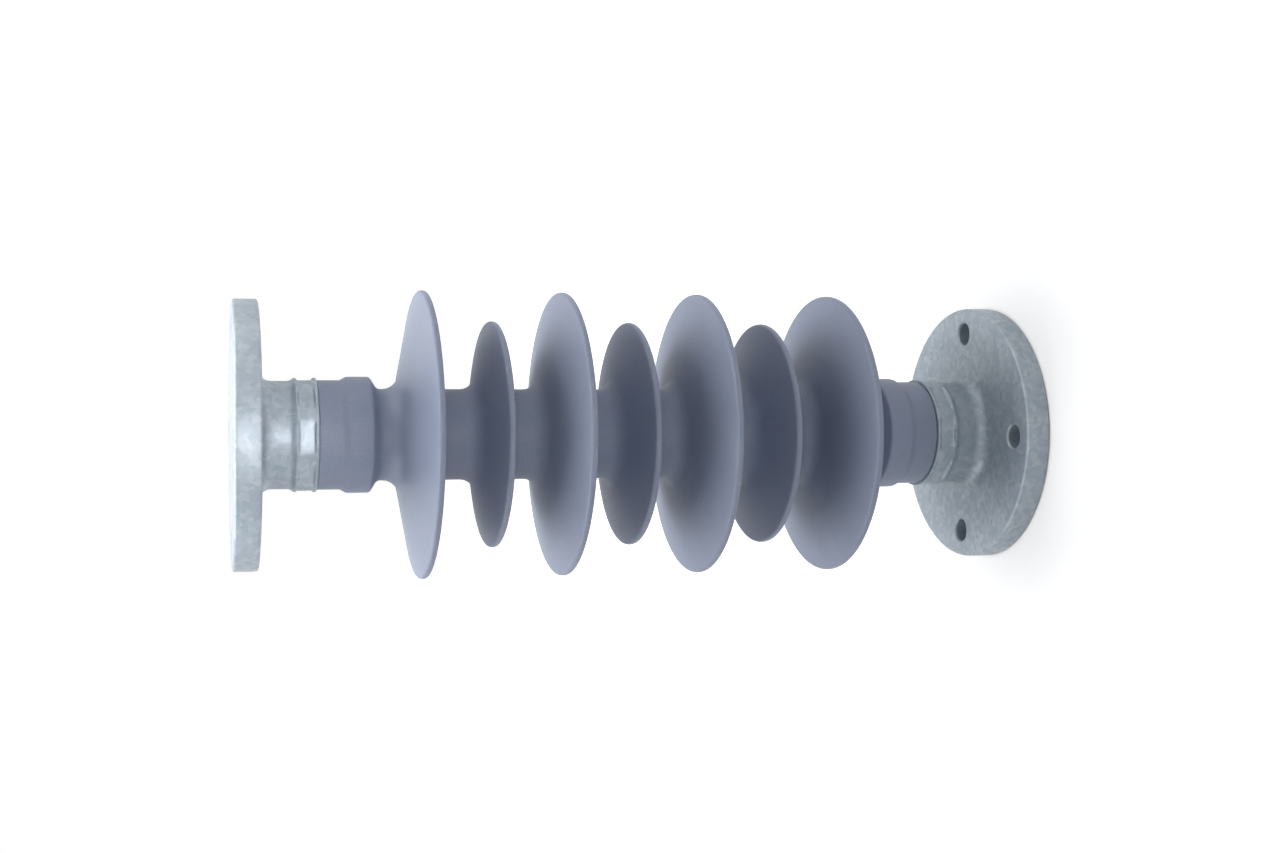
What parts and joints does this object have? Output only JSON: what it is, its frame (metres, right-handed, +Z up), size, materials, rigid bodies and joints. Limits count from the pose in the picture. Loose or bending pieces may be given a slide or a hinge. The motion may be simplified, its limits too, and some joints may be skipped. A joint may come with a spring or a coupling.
{
  "type": "composite post insulator",
  "caption": "Post insulator of silicone rubber with alternate large and small drooping sheds on a glass-fibre rod, and a crimped steel flange with bolt holes at each end.",
  "frame": {"origin": "centre of the base flange's seating face, on the insulator's axis", "axes": "+Z up along the insulator's axis, from the base flange to the top flange; bolt holes of both flanges on the X and Y axes"},
  "size_m": [0.173, 0.173, 0.482],
  "materials": {
    "galvanised_steel": "dull hot-dip galvanised",
    "silicone_rubber": "matt moulded silicone rubber, blue grey",
    "glass_fibre": "pultruded glass fibre and epoxy"
  },
  "bodies": {
    "root": {"base_fitting": "galvanised_steel", "top_fitting": "galvanised_steel", "core_rod": "glass_fibre", "housing": "silicone_rubber"}
  },
  "joints": []
}
